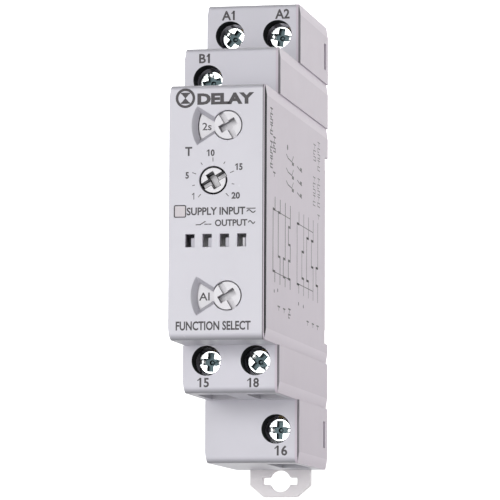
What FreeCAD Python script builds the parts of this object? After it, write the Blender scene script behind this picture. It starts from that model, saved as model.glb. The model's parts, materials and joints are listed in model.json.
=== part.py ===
"""DIN rail timer, one module wide, as an assembly of separate pieces.

Frame: +X to the right, +Y back towards the rail, +Z up, in millimetres. The origin is the centre of the
seat that rests on the 35 mm rail. Every driving dimension is a cell of the sheet "size"; DERIVED holds the
lengths that follow from them. A terminal is built about its own screw axis, with y = 0 on the face that
its screw is reached through, and is then placed.
"""

import FreeCAD
import Part

import os
import re
import sys

import Sketcher
from FreeCAD import Placement, Rotation, Vector

DRIVING = {
    # stepped outline, seen from the side
    "module_width": 17.5,
    "front_depth": 57.5,
    "shoulder_depth": 45.2,
    "outer_depth": 26.0,
    "foot_depth": 2.7,
    "front_half": 22.5,
    "shoulder_half": 31.0,
    "outer_top": 42.0,
    "outer_bottom": 42.5,
    "rail_offset": 1.0,
    "nose_round": 1.2,
    "brow_round": 0.8,
    "heel_round": 0.6,
    # side bevels that end each step
    "bevel_height": 2.0,
    "bevel_inset": 0.32,
    # shells
    "wall": 1.0,
    "deck": 1.2,
    "cover_wall": 0.8,
    "panel_thick": 1.2,
    "panel_margin": 0.55,
    "gap": 0.1,
    "seam_width": 0.35,
    "seam_depth": 0.3,
    "snap_length": 5.0,
    "snap_width": 2.0,
    "snap_height": 36.0,
    "snap_y": -0.6,
    # how far a cutting tool stands out past the face that it cuts
    "over": 1.0,
    # rail side
    "rail_recess": 35.5,
    "seat_land": 30.4,
    "seat_relief": 0.3,
    "hook_width": 12.0,
    "hook_reach": 2.25,
    "flange_room": 1.2,
    "leg_wall": 4.0,
    # rail clip and its spring
    "clip_width": 11.6,
    "clip_front": 1.1,
    "clip_drop": 46.65,
    "clip_corner_x": 2.6,
    "clip_corner_z": 2.2,
    "clip_hook_top": 15.2,
    "clip_hole_radius": 2.05,
    "clip_hole_drop": 43.65,
    "clip_slot_length": 6.6,
    "clip_slot_height": 1.35,
    "flange_reach": 0.8,
    "flange_thick": 0.7,
    "flange_top": 20.0,
    "clip_travel": 3.5,
    "clip_play": 0.15,
    "clip_end_room": 0.5,
    "groove_stop": 0.4,
    "spring_room": 0.3,
    "lug_half": 1.2,
    "lug_thick": 1.4,
    "spring_top": 22.0,
    "spring_bottom": 34.0,
    "spring_radius": 1.35,
    "spring_wire": 0.45,
    "spring_turns": 7.0,
    "spring_depth": 0.7,
    # terminals
    "screw_spread": 4.45,
    "shoulder_screw": 25.25,
    "outer_screw": 36.35,
    "well_radius": 2.65,
    "well_depth": 3.6,
    "head_recess": 3.8,
    "head_radius": 2.15,
    "head_thick": 1.8,
    "head_edge": 0.14,
    "blade_slot_half": 0.34,
    "blade_slot_depth": 0.7,
    "cross_reach": 1.6,
    "cross_short_reach": 1.3,
    "cross_half": 0.58,
    "cross_depth": 1.2,
    "cross_pit_radius": 0.9,
    "cross_tip_radius": 0.3,
    "cross_pit_depth": 1.6,
    "shank_radius": 1.5,
    "thread_gap": 0.06,
    "clamp_gap": 0.2,
    "clamp_travel": 4.2,
    "clamp_top": 1.2,
    "clamp_floor": 0.9,
    "clamp_half": 3.0,
    "clamp_side": 0.7,
    "clamp_length": 5.0,
    "bar_gap": 0.2,
    "bar_thick": 1.0,
    "bar_half": 1.7,
    "bar_tail": 2.0,
    "bar_overlap": 0.5,
    "wire_gap": 4.6,
    "bay_web": 1.0,
    "bay_back": 2.0,
    "entry_half": 2.65,
    "entry_start": 4.8,
    "entry_end": 17.3,
    "outer_entry_end": 20.5,
    # front controls
    "dial_x": 1.75,
    "range_dial_z": 15.3,
    "function_dial_z": -14.8,
    "range_disc_radius": 5.45,
    "function_disc_radius": 5.85,
    "disc_thick": 0.8,
    "hub_radius": 2.45,
    "hub_hole_radius": 2.65,
    "hub_set_back": 0.15,
    "hub_nib": 2.6,
    "hub_slot_half": 0.45,
    "hub_slot_depth": 0.8,
    "hub_arm": 1.6,
    "hub_arm_half": 0.65,
    "hub_arm_depth": 1.8,
    "dial_shaft_radius": 1.5,
    "dial_shaft_length": 2.0,
    "window_radius": 6.45,
    "window_half_angle": 32.5,
    "window_point": 0.0,
    "window_floor_radius": 5.5,
    "window_floor_half_angle": 24.5,
    "window_floor_point": 1.42,
    "trimmer_x": -0.77,
    "trimmer_z": 5.57,
    "trimmer_hole_radius": 2.52,
    "trimmer_radius": 2.28,
    "trimmer_length": 4.2,
    "trimmer_body_side": 6.8,
    "trimmer_lift": 1.0,
    "trimmer_slot_half": 0.5,
    "trimmer_slot_depth": 1.6,
    "trimmer_arm": 1.4,
    "trimmer_arm_half": 0.65,
    "trimmer_arm_depth": 2.2,
    "switch_side": 7.0,
    "switch_depth": 4.3,
    "switch_bore": 3.0,
    "lens_side": 2.1,
    "lens_x": -6.7,
    "lens_z": 0.15,
    "lens_length": 4.9,
    "light_half": 0.8,
    "slot_first_x": -4.9,
    "slot_pitch": 3.09,
    "slot_width": 1.63,
    "slot_height": 2.28,
    "slot_z": -5.05,
    "slot_dark_width": 0.95,
    "slot_dark_height": 0.65,
    "slot_last_width": 1.4,
    "slot_ledge": 0.4,
    # boards
    "board_thick": 1.0,
    "board_x": 4.6,
    "front_board_depth": 50.4,
    "front_board_half_width": 7.4,
    "board_front": 48.6,
    "board_back": 5.0,
    "wing_front": 23.5,
    "header_side": 2.5,
    "header_half": 9.0,
    # parts that stand on the main board: y and z of each, and its height off the board
    "can_radius": 4.0,
    "can_foot_radius": 3.6,
    "can_y": -11.0,
    "can_z": -5.0,
    "can_high": 11.6,
    "can_lift": 0.4,
    "film_front": 46.5,
    "film_back": 35.0,
    "film_low": 8.0,
    "film_top": 14.0,
    "film_high": 10.5,
    "varistor_radius": 4.2,
    "varistor_front": 21.5,
    "varistor_back": 18.3,
    "varistor_z": -16.0,
    "bridge_front": 32.0,
    "bridge_back": 26.0,
    "bridge_low": -9.0,
    "bridge_top": -4.0,
    "bridge_high": 2.4,
    "chip_front": 43.0,
    "chip_back": 38.0,
    "chip_z": -3.0,
    "chip_half": 4.5,
    "chip_high": 1.6,
    "chip_lift": 0.15,
    "lead_reach": 1.0,
    "lead_high": 0.6,
    "lead_half": 0.2,
    "lead_pitch": 1.27,
    "resistor_radius": 1.1,
    "resistor_front": 31.8,
    "resistor_back": 25.3,
    "resistor_first_z": -11.0,
    "resistor_pitch": 2.8,
    # relay
    "relay_front": 32.0,
    "relay_back": 6.0,
    "relay_low": 6.0,
    "relay_high": 18.5,
    "relay_side": -5.9,
    "relay_wall": 0.6,
    "relay_floor_thick": 1.0,
    "relay_axis_x": -0.85,
    "relay_axis_z": 12.25,
    "winding_radius": 3.7,
    "flange_radius": 3.9,
    "tube_radius": 2.1,
    "core_radius": 1.6,
    "bobbin_front": 30.2,
    "bobbin_back": 18.0,
    "yoke_thick": 1.0,
    "yoke_half": 3.0,
    "armature_face": 16.8,
    "pole_gap": 0.7,
    "armature_low": 9.6,
    "armature_half": 2.5,
    "blade_thick": 0.3,
    "contact_z": 8.1,
    "contact_radius": 0.9,
    "button_front": 0.5,
    "button_back": 0.4,
    "contact_gap": 0.75,
    "contact_thick": 0.6,
    "contact_edge": 0.2,
}

DERIVED = {
    "half_width": "module_width / 2",
    "rear": "foot_depth",
    "front": "-front_depth",
    "shoulder": "-shoulder_depth",
    "outer": "-outer_depth",
    "front_top": "rail_offset + front_half",
    "front_low": "rail_offset - front_half",
    "shoulder_top": "rail_offset + shoulder_half",
    "shoulder_low": "rail_offset - shoulder_half",
    "top": "rail_offset + outer_top",
    "bottom": "rail_offset - outer_bottom",
    "recess_half": "rail_recess / 2",
    "flange_bottom": "-bottom - clip_travel - clip_end_room",
    "land_half": "seat_land / 2",
    "inner_left": "wall - half_width",
    "inner_right": "half_width - cover_wall",
    "panel_back": "front + panel_thick",
    "panel_right": "half_width - panel_margin",
    "core_top": "front_top - deck",
    "core_low": "front_low + deck",
    "bay_split": "outer + wall + gap * 4",
    "clamp_open": "head_recess + head_thick + clamp_gap + clamp_travel",
    "bar_front": "clamp_open + clamp_top + bar_gap",
    "bar_back": "bar_front + bar_thick",
    "floor_front": "bar_back + wire_gap",
    "head_back": "head_recess + head_thick",
    "disc_front": "panel_thick - hub_set_back + gap * 3",
    "disc_back": "disc_front + disc_thick",
    "switch_back": "-front_board_depth",
    "switch_front": "switch_back - switch_depth",
    "board_right": "board_x + board_thick",
    "board_top": "core_top - gap",
    "board_low": "core_low + gap",
    "wing_top": "shoulder_top - gap",
    "wing_low": "shoulder_low + gap",
    "hinge_z": "relay_axis_z + flange_radius + yoke_thick + gap",
}

TERMINALS = {
    # name: (side of the middle plane, above or below the middle, step it stands on, turn of its screw)
    "a1": (-1, 1, "outer", 38),
    "a2": (1, 1, "outer", 8),
    "b1": (-1, 1, "shoulder", 78),
    "15": (-1, -1, "shoulder", 4),
    "18": (1, -1, "shoulder", 42),
    "16": (1, -1, "outer", 2),
}

# how far the two selectors and the trimmer stand turned, in degrees clockwise seen from the front
DIAL_TURN = 60
TRIMMER_TURN = -30

CORNERS = (
    # front of a step, and the ends of a stretch of its right-hand corner that stands free
    ("front", "front_low", "front_top"),
    ("shoulder", "shoulder_low", "front_low"),
    ("shoulder", "front_top", "shoulder_top"),
    ("outer", "bottom", "shoulder_low"),
    ("outer", "shoulder_top", "top"),
)

WHOLE_DEPTH = ("front - over", "rear + over")
WHOLE_HEIGHT = ("bottom - over", "top + over")
PANEL_DEPTH = ("front - over", "panel_back")

# the relay's coil lies along y through these x and z; its armature is this deep
RELAY_AXIS = ("relay_axis_x", "relay_axis_z")
ARMATURE_DEPTH = ("-armature_face", "-armature_face + yoke_thick")

TURN_TO = {"x": Rotation(Vector(0, 1, 0), 90), "y": Rotation(Vector(1, 0, 0), -90), "z": Rotation()}
AXES = {"x": ("y", "z"), "y": ("x", "z"), "z": ("x", "y")}

doc = FreeCAD.newDocument("rail_timer")
subparts = []


def fill_sheet():
    """Put every driving dimension in the sheet, with its name as the alias of its cell."""
    sheet = doc.addObject("Spreadsheet::Sheet", "size")
    for row, (name, number) in enumerate(DRIVING.items(), start=1):
        sheet.set(f"A{row}", name)
        sheet.set(f"B{row}", str(number))
        sheet.setAlias(f"B{row}", name)
    doc.recompute()
    return sheet


def bound(expression):
    """The expression with derived lengths written out and driving ones pointed at the sheet."""

    def spelled(match):
        word = match.group()
        if word in DERIVED:
            return f"({bound(DERIVED[word])})"
        return f"size.{word}" if word in DRIVING else word

    return re.sub(r"[a-z][a-z_]*", spelled, expression)


def amount(expression):
    """The present value of an expression, in mm."""
    return float(sheet.evalExpression(bound(expression)))


def bind(item, prop, expression):
    item.setExpression(prop, bound(expression))


def put(item, x="0", y="0", z="0", rotation=None):
    """Place an item at a point given by expressions, and turned by rotation."""
    if rotation is not None:
        item.Placement = Placement(Vector(), rotation)
    for axis, expression in zip("xyz", (x, y, z)):
        bind(item, f"Placement.Base.{axis}", expression)
    return item


def block(name, x, y, z):
    """A box between the low and high expressions given for each axis."""
    box = doc.addObject("Part::Box", name)
    for prop, axis, (low, high) in zip(("Length", "Width", "Height"), "xyz", (x, y, z)):
        bind(box, prop, f"({high}) - ({low})")
        bind(box, f"Placement.Base.{axis}", low)
    return box


def around(middle, half):
    """The low and high expressions that lie half each side of the middle."""
    return f"{middle} - ({half})", f"{middle} + ({half})"


def rod(name, axis, radius, centre, span):
    """A cylinder along an axis, through the centre (its other two coordinates), over the span."""
    cylinder = doc.addObject("Part::Cylinder", name)
    bind(cylinder, "Radius", radius)
    bind(cylinder, "Height", f"({span[1]}) - ({span[0]})")
    places = dict(zip(AXES[axis], centre))
    places[axis] = span[0]
    return put(cylinder, places["x"], places["y"], places["z"], TURN_TO[axis])


def taper(name, axis, radii, centre, span):
    """A cone that goes from the first radius to the second over the span."""
    cone = doc.addObject("Part::Cone", name)
    bind(cone, "Radius1", radii[0])
    bind(cone, "Radius2", radii[1])
    bind(cone, "Height", f"({span[1]}) - ({span[0]})")
    places = dict(zip(AXES[axis], centre))
    places[axis] = span[0]
    return put(cone, places["x"], places["y"], places["z"], TURN_TO[axis])


def joined(name, *pieces):
    fusion = doc.addObject("Part::MultiFuse", name)
    fusion.Shapes = list(pieces)
    return fusion


def cut(name, base, *tools):
    """The base without the tools."""
    result = doc.addObject("Part::Cut", name)
    result.Base = base
    result.Tool = tools[0] if len(tools) == 1 else joined(f"{name}_tools", *tools)
    return result


def shared(name, one, other):
    """What the two shapes have in common."""
    result = doc.addObject("Part::Common", name)
    result.Base = one
    result.Tool = other
    return result


def subpart(item, label):
    """Name a finished piece, and list it for checking and writing."""
    item.Label = label
    subparts.append(item)
    return item


def outline(sketch, points):
    """A closed outline through points, each a pair of expressions held by two dimensions."""
    corners = [Vector(amount(across), amount(up), 0) for across, up in points]
    count = len(points)
    for i in range(count):
        sketch.addGeometry(Part.LineSegment(corners[i], corners[(i + 1) % count]), False)
    for i in range(count):
        sketch.addConstraint(Sketcher.Constraint("Coincident", i, 2, (i + 1) % count, 1))
    for i, point in enumerate(points):
        for kind, expression in zip(("DistanceX", "DistanceY"), point):
            number = amount(expression)
            index = sketch.addConstraint(Sketcher.Constraint(kind, -1, 1, i, 1, number))
            bind(sketch, f"Constraints[{index}]", expression)


def prism(name, plane, points, low, high):
    """A body padded from an outline in the named origin plane, over a span along its normal."""
    body = doc.addObject("PartDesign::Body", name)
    sketch = body.newObject("Sketcher::SketchObject", f"{name}_sketch")
    origin_plane = next(f for f in body.Origin.OriginFeatures if f.Role == f"{plane}_Plane")
    sketch.AttachmentSupport = [(origin_plane, "")]
    sketch.MapMode = "FlatFace"
    # the normal of the XZ plane points to the front, so its pads start at the back
    bind(sketch, "AttachmentOffset.Base.z", f"-({high})" if plane == "XZ" else low)
    outline(sketch, points)
    pad = body.newObject("PartDesign::Pad", f"{name}_pad")
    pad.Profile = sketch
    bind(pad, "Length", f"({high}) - ({low})")
    doc.recompute()
    return body


def edges_at(shape, chosen):
    """The names of the straight edges whose two ends both satisfy the test."""
    return [
        f"Edge{i}"
        for i, edge in enumerate(shape.Edges, start=1)
        if len(edge.Vertexes) == 2 and all(chosen(vertex.Point) for vertex in edge.Vertexes)
    ]


def dress(body, kind, prop, expression, chosen):
    """Add a fillet or a chamfer to the edges of a body that satisfy the test."""
    base = body.Tip
    feature = body.newObject(f"PartDesign::{kind}", f"{body.Name}_{kind.lower()}")
    feature.Base = (base, edges_at(base.Shape, chosen))
    bind(feature, prop, expression)
    doc.recompute()
    return feature


def near(value, expression):
    return abs(value - amount(expression)) < 1e-4


# ---------------------------------------------------------------- casing


def outer_form():
    """The whole module's stepped outer form, with its edges rounded and its sides bevelled."""
    steps = [
        ("rear", "top"),
        ("outer", "top"),
        ("outer", "shoulder_top"),
        ("shoulder", "shoulder_top"),
        ("shoulder", "front_top"),
        ("front", "front_top"),
        ("front", "front_low"),
        ("shoulder", "front_low"),
        ("shoulder", "shoulder_low"),
        ("outer", "shoulder_low"),
        ("outer", "bottom"),
        ("rear", "bottom"),
        ("rear", "-recess_half"),
        ("-seat_relief", "-recess_half"),
        ("-seat_relief", "-land_half"),
        ("0", "-land_half"),
        ("0", "land_half"),
        ("-seat_relief", "land_half"),
        ("-seat_relief", "recess_half"),
        ("rear", "recess_half"),
    ]
    form = prism("outer_form", "YZ", steps, "-half_width", "half_width")
    noses = (("front", "front_low"), ("shoulder", "shoulder_low"), ("outer", "bottom"))
    brows = (("front", "front_top"), ("shoulder", "shoulder_top"), ("outer", "top"))
    heels = (("rear", "top"), ("rear", "bottom"))
    for corners, radius in ((noses, "nose_round"), (brows, "brow_round"), (heels, "heel_round")):
        dress(
            form,
            "Fillet",
            "Radius",
            radius,
            lambda p, corners=corners: any(near(p.y, y) and near(p.z, z) for y, z in corners),
        )
    bevels = []
    for level in ("front", "shoulder"):
        bevels += side_bevels(level, f"{level}_half", f"{level}_half")
    bevels += side_bevels("outer", "outer_top", "outer_bottom")
    return cut("bevelled_form", form, *bevels)


def side_bevels(level, above, below):
    """Four wedges that narrow a step over the last bevel_height at its top and at its bottom."""
    wedges = []
    for side in (-1, 1):
        for up, reach in ((1, above), (-1, below)):
            end = f"rail_offset + {up} * {reach}"
            start = f"rail_offset + {up} * ({reach} - bevel_height)"
            points = [
                (f"{side} * half_width", start),
                (f"{side} * (half_width + over)", start),
                (f"{side} * (half_width + over)", end),
                (f"{side} * (half_width - bevel_inset)", end),
            ]
            side_name = "left" if side < 0 else "right"
            place_name = "upper" if up > 0 else "lower"
            name = f"{level}_{place_name}_{side_name}_bevel"
            wedges.append(prism(name, "XZ", points, *WHOLE_DEPTH))
    return wedges


def screw_place(side, up, step):
    """The x, y and z expressions of a terminal's screw axis, on the face of its step."""
    return f"{side} * screw_spread", step, f"rail_offset + {up} * {step}_screw"


def along_z(up, z, near_end, far_end):
    """A span measured from z towards the wire's entry, the right way round for either end."""
    ends = (f"{z} + {up} * ({near_end})", f"{z} + {up} * ({far_end})")
    return ends if up > 0 else ends[::-1]


def terminal_space(name, side, up, step, right_limit):
    """What a terminal takes out of the casing: bay, driver well, wire entry and busbar slot."""
    x, face, z = screw_place(side, up, step)
    upper, lower = ("shoulder_top", "shoulder_low") if step == "shoulder" else ("top", "bottom")
    end = upper if up > 0 else lower
    near_wall = "front_half" if step == "shoulder" else "shoulder_half + wall"
    inner = f"rail_offset + {up} * ({near_wall})"
    outer_end = f"{end} - {up} * wall"
    bay_x = ("inner_left", "-bay_web / 2") if side < 0 else ("bay_web / 2", right_limit)
    bay_z = (inner, outer_end) if up > 0 else (outer_end, inner)
    bay_y = (f"{face} + well_depth", "bay_split - wall" if step == "shoulder" else "-bay_back")
    entry_end = "entry_end" if step == "shoulder" else "outer_entry_end"
    entry_y = (f"{face} + entry_start", f"{face} + {entry_end}")
    beyond = f"{end} + {up} * over"
    entry_z = (outer_end, beyond) if up > 0 else (beyond, outer_end)
    slot_y = (f"{face} + bar_front - gap", f"{face} + bar_back + gap")
    slot_end = f"{inner} - {up} * (deck + gap)"
    slot_z = (slot_end, inner) if up > 0 else (inner, slot_end)
    return [
        block(f"{name}_bay", bay_x, bay_y, bay_z),
        rod(f"{name}_well", "y", "well_radius", (x, z), (f"{face} - over", f"{face} + well_depth")),
        block(f"{name}_entry", around(x, "entry_half"), entry_y, entry_z),
        block(f"{name}_slot", around(x, "bar_half + gap"), slot_y, slot_z),
    ]


def casing(form):
    """The tray that makes the left wall, the steps, the terminal bays and the rail side."""
    inside_x = ("inner_left", "inner_right")
    core_z = ("core_low", "core_top")
    seat_z = ("deck - recess_half", "recess_half - deck")
    tools = [
        block("cover_side", ("inner_right", "half_width + over"), WHOLE_DEPTH, WHOLE_HEIGHT),
        block("panel_side", ("-half_width - over", "half_width"), PANEL_DEPTH, WHOLE_HEIGHT),
        block("core_space", inside_x, ("panel_back", "bay_split"), core_z),
        block("wing_space", inside_x, ("bay_split", "-leg_wall"), ("shoulder_low", "shoulder_top")),
        block("seat_space", inside_x, ("-leg_wall", "-deck"), seat_z),
    ]
    for name, (side, up, step, _) in TERMINALS.items():
        tools += terminal_space(f"casing_{name}", side, up, step, "inner_right")
    tools += clip_channel()
    tray = cut("tray", form, *tools)
    hook = block(
        "upper_hook",
        around("0", "hook_width / 2"),
        ("flange_room", "rear"),
        ("recess_half - hook_reach", "recess_half + gap"),
    )
    tongues = snaps("snap", "half_width - bevel_inset", "gap")
    return subpart(joined("casing", tray, hook, *tongues), "housing")


def snaps(name, outer_side, play):
    """The tongues of the tray, or with no play the windows of the cover that they fill."""
    return [
        block(
            f"{place}_{name}",
            ("inner_right - over", outer_side),
            around("snap_y", f"snap_width / 2 - {play}"),
            around(f"rail_offset + {side} * snap_height", f"snap_length / 2 - {play}"),
        )
        for place, side in (("upper", 1), ("lower", -1))
    ]


def clip_channel():
    """The guide that the rail clip slides in, and the pocket of its spring."""
    way_x = around("0", "clip_width / 2 + clip_play")
    way_z = ("bottom - over", "-recess_half + gap")
    groove_x = around("0", "clip_width / 2 + flange_reach + clip_play")
    groove_y = ("clip_front - gap", "clip_front + flange_thick + clip_play")
    pocket_x = around("0", "spring_radius + spring_wire / 2 + spring_room")
    pocket_y = ("-spring_depth - spring_radius - spring_wire", "clip_front")
    pocket_z = ("-spring_bottom", "-spring_top + lug_thick + spring_room")
    return [
        block("clip_way", way_x, ("clip_front - gap", "rear + over"), way_z),
        block("clip_groove", groove_x, groove_y, ("bottom + groove_stop", "-recess_half + gap")),
        block("spring_pocket", pocket_x, pocket_y, pocket_z),
    ]


def cover(form):
    """The flat right-hand wall, which snaps onto the tray and closes it."""
    slab = block("cover_slab", ("inner_right", "half_width"), WHOLE_DEPTH, WHOLE_HEIGHT)
    tools = [block("cover_rebate", ("inner_right - over", "panel_right"), PANEL_DEPTH, WHOLE_HEIGHT)]
    seam_x = ("half_width - seam_depth", "half_width + over")
    for level, low, high in CORNERS:
        seam_y = (f"{level} - over", f"{level} + seam_width")
        tools.append(block(f"{level}_seam_{low}", seam_x, seam_y, (low, high)))
    tools += snaps("snap_window", "half_width + over", "0")
    return subpart(cut("cover", shared("cover_blank", form, slab), *tools), "side_cover")


def fan_sketch(name, kind, z, depth):
    """A fan that opens to the left from its point, with its arc centred on a dial."""
    sketch = doc.addObject("Sketcher::SketchObject", name)
    # the sketch stands upright, with its normal to the front
    put(sketch, "dial_x", depth, z, Rotation(Vector(1, 0, 0), 90))
    radius = f"{kind}_radius"
    across = f"-{radius} * cos({kind}_half_angle)"
    up = f"{radius} * sin({kind}_half_angle)"
    high = Vector(amount(across), amount(up), 0)
    low = Vector(high.x, -high.y, 0)
    point = Vector(-amount(f"{kind}_point"), 0, 0)
    sketch.addGeometry(Part.LineSegment(point, high), False)
    sketch.addGeometry(Part.Arc(high, Vector(-amount(radius), 0, 0), low), False)
    sketch.addGeometry(Part.LineSegment(low, point), False)
    # each pair is a piece of geometry and one of its ends: 1 start, 2 end, 3 centre
    for one, other in (((0, 2), (1, 1)), ((1, 2), (2, 1)), ((0, 1), (2, 2)), ((1, 3), (-1, 1))):
        ends = matching_end(sketch, *one, *other)
        sketch.addConstraint(Sketcher.Constraint("Coincident", *ends))
    sketch.addConstraint(Sketcher.Constraint("PointOnObject", 0, 1, -1))
    held = (
        ("DistanceX", (0, 1, -1, 1), f"{kind}_point"),
        ("DistanceX", (0, 2, -1, 1), f"-({across})"),
        ("DistanceY", (-1, 1, 0, 2), up),
        ("DistanceY", (2, 1, -1, 1), up),
    )
    for way, ends, expression in held:
        index = sketch.addConstraint(Sketcher.Constraint(way, *ends, amount(expression)))
        bind(sketch, f"Constraints[{index}]", expression)
    return sketch


def matching_end(sketch, first, first_end, second, second_end):
    """An arc may hold its two ends in either order, so an arc's end is picked by where it lies."""
    if 1 in (first, second) and 3 not in (first_end, second_end):
        line, line_end = (second, second_end) if first == 1 else (first, first_end)
        point = sketch.getPoint(line, line_end)
        arc_end = 1 if sketch.getPoint(1, 1).distanceToPoint(point) < 1e-6 else 2
        return line, line_end, 1, arc_end
    return first, first_end, second, second_end


def fan_window(name, z):
    """A fan-shaped window with sloping walls, wider at the face than at its floor."""
    loft = doc.addObject("Part::Loft", name)
    loft.Sections = [
        fan_sketch(f"{name}_mouth", "window", z, "front"),
        fan_sketch(f"{name}_floor", "window_floor", z, "panel_back"),
    ]
    loft.Solid = True
    loft.Ruled = True
    return loft


def front_face(form):
    """The face plate, with its two dial windows, trimmer hole, lens hole and four slots."""
    slab = block("panel_slab", ("-half_width", "panel_right"), PANEL_DEPTH, ("front_low", "front_top"))
    through = ("front - over", "panel_back + over")
    tools = []
    for name, height in (("range", "range_dial_z"), ("function", "function_dial_z")):
        z = f"rail_offset + {height}"
        tools.append(fan_window(f"{name}_window", z))
        tools.append(rod(f"{name}_hole", "y", "hub_hole_radius", ("dial_x", z), through))
    trimmer_centre = ("trimmer_x", "rail_offset + trimmer_z")
    tools.append(rod("trimmer_hole", "y", "trimmer_hole_radius", trimmer_centre, through))
    lens_x = around("lens_x", "lens_side / 2")
    tools.append(block("lens_hole", lens_x, through, around("rail_offset + lens_z", "lens_side / 2")))
    for i in range(4):
        open_width = "slot_dark_width" if i < 3 else "slot_last_width"
        tools += vent_slot(f"panel_slot_{i + 1}", f"slot_first_x + {i} * slot_pitch", open_width, through)
    return subpart(cut("face", shared("panel_blank", form, slab), *tools), "front_panel")


def vent_slot(name, middle, open_width, through):
    """A slot that is open at its left and top, with a ledge a little behind the face in the rest."""
    left, right = around(middle, "slot_width / 2")
    low, high = around("rail_offset + slot_z", "slot_height / 2")
    return [
        block(f"{name}_mouth", (left, right), ("front - over", "front + slot_ledge"), (low, high)),
        block(f"{name}_side", (left, f"{left} + {open_width}"), through, (low, high)),
        block(f"{name}_top", (left, right), through, (f"{high} - slot_dark_height", high)),
    ]


# ---------------------------------------------------------------- rail clip


def rail_clip():
    """The sliding foot that locks behind the lower flange of the rail."""
    half = "clip_width / 2"
    points = [
        (f"-{half}", "-clip_hook_top"),
        (half, "-clip_hook_top"),
        (half, "-clip_drop + clip_corner_z"),
        (f"{half} - clip_corner_x", "-clip_drop"),
        (f"clip_corner_x - {half}", "-clip_drop"),
        (f"-{half}", "-clip_drop + clip_corner_z"),
    ]
    plate = prism("clip_plate", "XZ", points, "clip_front", "rear")


    def nose(point):
        return near(point.y, "clip_front") and near(point.z, "-clip_hook_top")

    dress(plate, "Chamfer", "Size", "flange_thick", nose)
    flange_x = around("0", f"{half} + flange_reach")
    flange_y = ("clip_front", "clip_front + flange_thick")
    flange = block("clip_flange", flange_x, flange_y, ("-flange_bottom", "-flange_top"))
    lug_y = ("-spring_depth - spring_radius - spring_wire / 2", "clip_front + gap")
    lug = block("clip_lug", around("0", "lug_half"), lug_y, ("-spring_top", "-spring_top + lug_thick"))
    hole_y = ("0", "rear + over")
    hole = rod("clip_hole", "y", "clip_hole_radius", ("0", "-clip_hole_drop"), hole_y)
    slot_z = around("-clip_hole_drop", "clip_slot_height / 2")
    slot = block("clip_slot", around("0", "clip_slot_length / 2"), hole_y, slot_z)
    subpart(cut("clip", joined("clip_blank", plate, flange, lug), hole, slot), "rail_clip")


def clip_spring():
    """The coil spring that holds the clip up, wound about a vertical axis."""
    helix = doc.addObject("Part::Helix", "spring_helix")
    bind(helix, "Radius", "spring_radius")
    length = "spring_bottom - spring_top - spring_wire - 2 * gap"
    bind(helix, "Height", length)
    bind(helix, "Pitch", f"({length}) / spring_turns")
    section = doc.addObject("Part::Circle", "spring_section")
    bind(section, "Radius", "spring_wire / 2")
    put(section, "spring_radius", "0", "0", Rotation(Vector(1, 0, 0), 90))
    coil = doc.addObject("Part::Sweep", "spring_coil")
    coil.Sections = [section]
    coil.Spine = (helix, ["Edge1"])
    coil.Solid = True
    coil.Frenet = True
    put(coil, "0", "-spring_depth", "-spring_bottom + spring_wire / 2 + gap")
    subpart(coil, "clip_spring")


# ---------------------------------------------------------------- terminals


def terminal(name, side, up, step, turn):
    """A clamp screw, the cage that it raises, and the busbar that the wire is pressed against."""
    x, face, z = screw_place(side, up, step)
    screw = put(clamp_screw(name), x, face, z, Rotation(Vector(0, 1, 0), turn))
    subpart(screw, f"terminal_screw_{name}")
    subpart(put(clamp_cage(name), x, face, z), f"wire_clamp_{name}")
    subpart(put(busbar(name, side, up, step), x, face, z), f"busbar_{name}")


def clamp_screw(name):
    """A screw about the y axis, with a blade slot right across its head and a cross with unequal arms."""
    centre = ("0", "0")
    edge = "head_recess + head_edge"
    pieces = [
        rod(f"shank_{name}", "y", "shank_radius", centre, ("head_back - gap", "bar_front - gap / 2")),
        rod(f"head_{name}", "y", "head_radius", centre, (edge, "head_back")),
        taper(f"rim_{name}", "y", ("head_radius - head_edge", "head_radius"), centre, ("head_recess", edge)),
    ]
    slot_y = ("0", "head_recess + blade_slot_depth")
    cross_y = ("0", "head_recess + cross_depth")
    pit_y = ("head_recess", "head_recess + cross_pit_depth")
    arm, thick = around("0", "cross_reach"), around("0", "cross_half")
    recess = [
        block(f"slot_{name}", around("0", "head_radius"), slot_y, around("0", "blade_slot_half")),
        block(f"arm_{name}", around("0", "cross_short_reach"), cross_y, thick),
        block(f"arm_across_{name}", thick, cross_y, arm),
        taper(f"pit_{name}", "y", ("cross_pit_radius", "cross_tip_radius"), centre, pit_y),
    ]
    return cut(f"screw_{name}", joined(f"screw_blank_{name}", *pieces), *recess)


def clamp_cage(name):
    """A square tube with its mouth towards the wire's entry, threaded in its front wall."""
    outside_y = ("clamp_open", "floor_front + clamp_floor")
    shell = block(f"cage_shell_{name}", around("0", "clamp_half"), outside_y, around("0", "clamp_length / 2"))
    inside_x = around("0", "clamp_half - clamp_side")
    inside_y = ("clamp_open + clamp_top", "floor_front")
    inside = block(f"cage_inside_{name}", inside_x, inside_y, around("0", "clamp_length"))
    thread_y = ("clamp_open - over", "bar_front")
    thread = rod(f"cage_thread_{name}", "y", "shank_radius + thread_gap", ("0", "0"), thread_y)
    return cut(f"cage_{name}", shell, inside, thread)


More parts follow.
